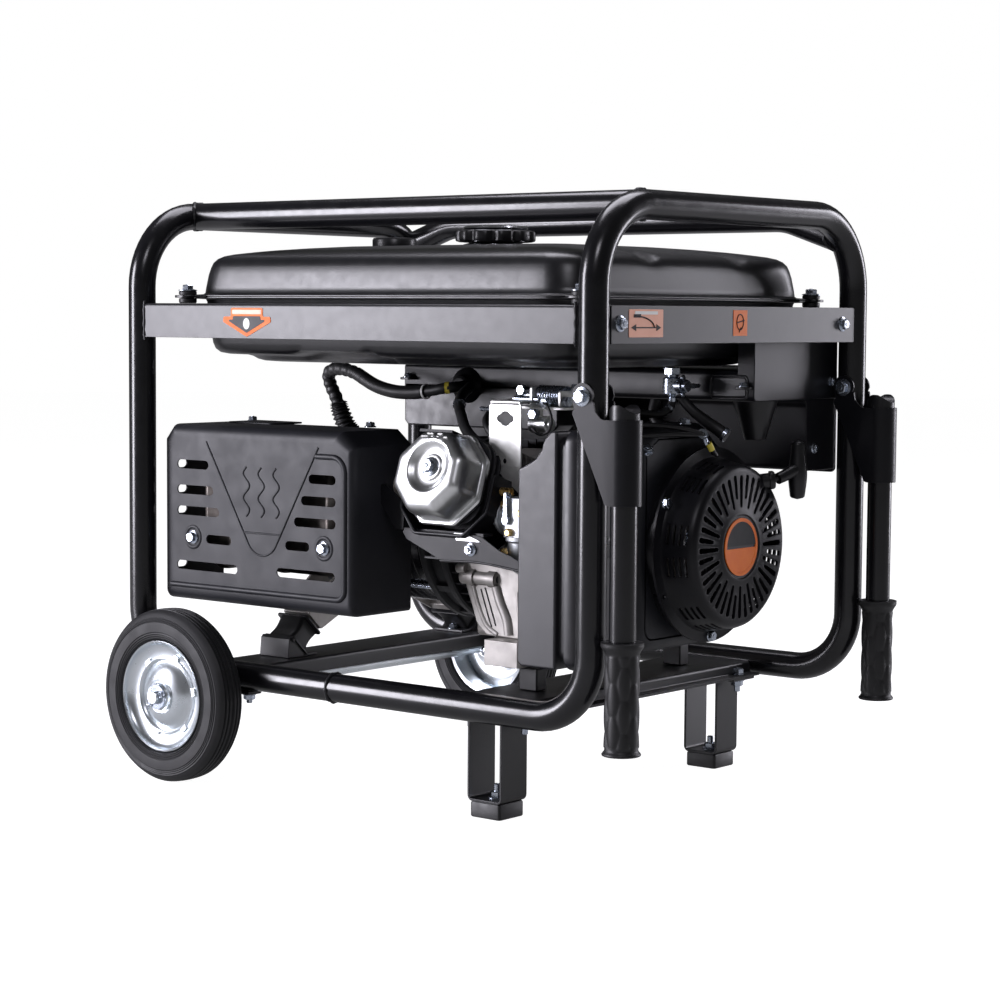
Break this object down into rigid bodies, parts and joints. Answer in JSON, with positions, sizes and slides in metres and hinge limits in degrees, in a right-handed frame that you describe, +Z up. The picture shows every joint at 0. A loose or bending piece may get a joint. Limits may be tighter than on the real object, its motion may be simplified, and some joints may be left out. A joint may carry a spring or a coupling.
{
  "type": "portable generator",
  "caption": "Open tube-frame portable generator on two wheels and two feet, with folding handles, fuel tank, recoil-start engine, alternator and side control box.",
  "frame": {"origin": "on the ground under the middle of the machine's bounding box", "axes": "+X along the machine towards the recoil starter and the folding handles, +Y towards the control panel, +Z up"},
  "size_m": [0.7553, 0.656, 0.6766],
  "materials": {
    "frame_paint": "semi-gloss black powder coat",
    "tank_paint": "satin black enamel",
    "guard_paint": "matte heat-resistant black",
    "zinc": "bright zinc plate",
    "polished_steel": "polished pressing",
    "cast_aluminium": "as cast",
    "tyre_rubber": "ribbed rubber",
    "black_plastic": "moulded, fine grain",
    "black_rubber": "matte",
    "cap_chrome": "plated",
    "rotor_steel": "machined, oiled"
  },
  "bodies": {
    "frame": {"front_hoop": "frame_paint", "rear_hoop": "frame_paint", "near_top_rail": "frame_paint", "far_top_rail": "frame_paint", "near_tank_rail": "frame_paint", "far_tank_rail": "frame_paint", "front_tank_rail": "frame_paint", "rear_tank_rail": "frame_paint", "front_cross_member": "frame_paint", "rear_cross_member": "frame_paint", "near_foot_strap": "frame_paint", "far_foot_strap": "frame_paint", "near_foot_pad": "black_rubber", "far_foot_pad": "black_rubber", "wheel_axle": "zinc", "tank_upper": "tank_paint", "tank_lower": "tank_paint", "fuel_gauge": "black_plastic", "fuel_tap": "zinc", "fuel_hose": "black_rubber", "crankcase": "cast_aluminium", "cylinder_head": "cast_aluminium", "valve_cover": "polished_steel", "cooling_shroud": "guard_paint", "blower_housing": "guard_paint", "recoil_cover": "guard_paint", "alternator_housing": "guard_paint", "near_isolator": "black_rubber", "far_isolator": "black_rubber", "muffler_guard": "guard_paint", "muffler": "rotor_steel", "air_cleaner_base": "black_plastic", "air_cleaner_cover": "black_plastic", "carburettor": "cast_aluminium", "control_box": "black_plastic", "control_panel": "frame_paint", "wiring_loom": "black_rubber", "ignition_lead": "black_rubber"},
    "near_wheel": {"near_tyre": "tyre_rubber", "near_rim": "zinc"},
    "far_wheel": {"far_tyre": "tyre_rubber", "far_rim": "zinc"},
    "near_handle": {"near_handle_bracket": "frame_paint", "near_handle_tube": "frame_paint", "near_handle_cap": "black_plastic", "near_handle_grip": "black_rubber"},
    "far_handle": {"far_handle_bracket": "frame_paint", "far_handle_tube": "frame_paint", "far_handle_cap": "black_plastic", "far_handle_grip": "black_rubber"},
    "filler_cap": {"fuel_cap": "cap_chrome"},
    "tap_lever": {"fuel_tap_lever": "zinc"},
    "choke": {"choke_lever": "zinc"},
    "starter_handle": {"starter_grip": "black_plastic"},
    "recoil_reel": {"recoil_pulley": "black_plastic"},
    "engine_rotor": {"crankshaft": "rotor_steel", "flywheel_fan": "black_plastic", "alternator_rotor": "rotor_steel"},
    "key": {"key_switch": "cap_chrome"},
    "breaker": {"breaker_switch": "black_plastic"}
  },
  "joints": [
    {"name": "near_wheel_spin", "type": "hinge", "parent": "frame", "child": "near_wheel", "pos_m": [-0.26385, -0.295, 0.101], "axis": [0, 1, 0], "continuous": true},
    {"name": "far_wheel_spin", "type": "hinge", "parent": "frame", "child": "far_wheel", "pos_m": [-0.26385, 0.295, 0.101], "axis": [0, 1, 0], "continuous": true},
    {"name": "near_handle_fold", "type": "hinge", "parent": "frame", "child": "near_handle", "pos_m": [0.31415, -0.251, 0.463], "axis": [0, -1, 0], "range_deg": [0, 90]},
    {"name": "far_handle_fold", "type": "hinge", "parent": "frame", "child": "far_handle", "pos_m": [0.31415, 0.251, 0.463], "axis": [0, -1, 0], "range_deg": [0, 90]},
    {"name": "fuel_cap_turn", "type": "hinge", "parent": "frame", "child": "filler_cap", "pos_m": [-0.02385, 0, 0.63], "axis": [0, 0, 1], "range_deg": [0, 90]},
    {"name": "fuel_tap_turn", "type": "hinge", "parent": "frame", "child": "tap_lever", "pos_m": [0.22815, 0.037, 0.466], "axis": [-1, 0, 0], "range_deg": [0, 90]},
    {"name": "choke_turn", "type": "hinge", "parent": "frame", "child": "choke", "pos_m": [0.14115, -0.178, 0.322], "axis": [0, 1, 0], "range_deg": [0, 60]},
    {"name": "starter_pull", "type": "slide", "parent": "frame", "child": "starter_handle", "axis": [0.9798, 0, 0.2], "range_m": [0, 0.5], "stiffness_N_per_m": 20},
    {"name": "recoil_reel_turn", "type": "hinge", "parent": "frame", "child": "recoil_reel", "pos_m": [0.27615, 0.047, 0.287], "axis": [-1, 0, 0], "range_deg": [0, 580]},
    {"name": "engine_spin", "type": "hinge", "parent": "frame", "child": "engine_rotor", "pos_m": [-0.02385, 0.047, 0.287], "axis": [1, 0, 0], "continuous": true},
    {"name": "key_turn", "type": "hinge", "parent": "frame", "child": "key", "pos_m": [0.23815, 0.253, 0.44], "axis": [0, 1, 0], "range_deg": [0, 80]},
    {"name": "breaker_toggle", "type": "hinge", "parent": "frame", "child": "breaker", "pos_m": [0.18015, 0.2556, 0.44], "axis": [-1, 0, 0], "range_deg": [0, 40]}
  ],
  "couplings": [
    {"joint": "recoil_reel_turn", "follows": "starter_pull", "rad_per_m": 20}
  ]
}
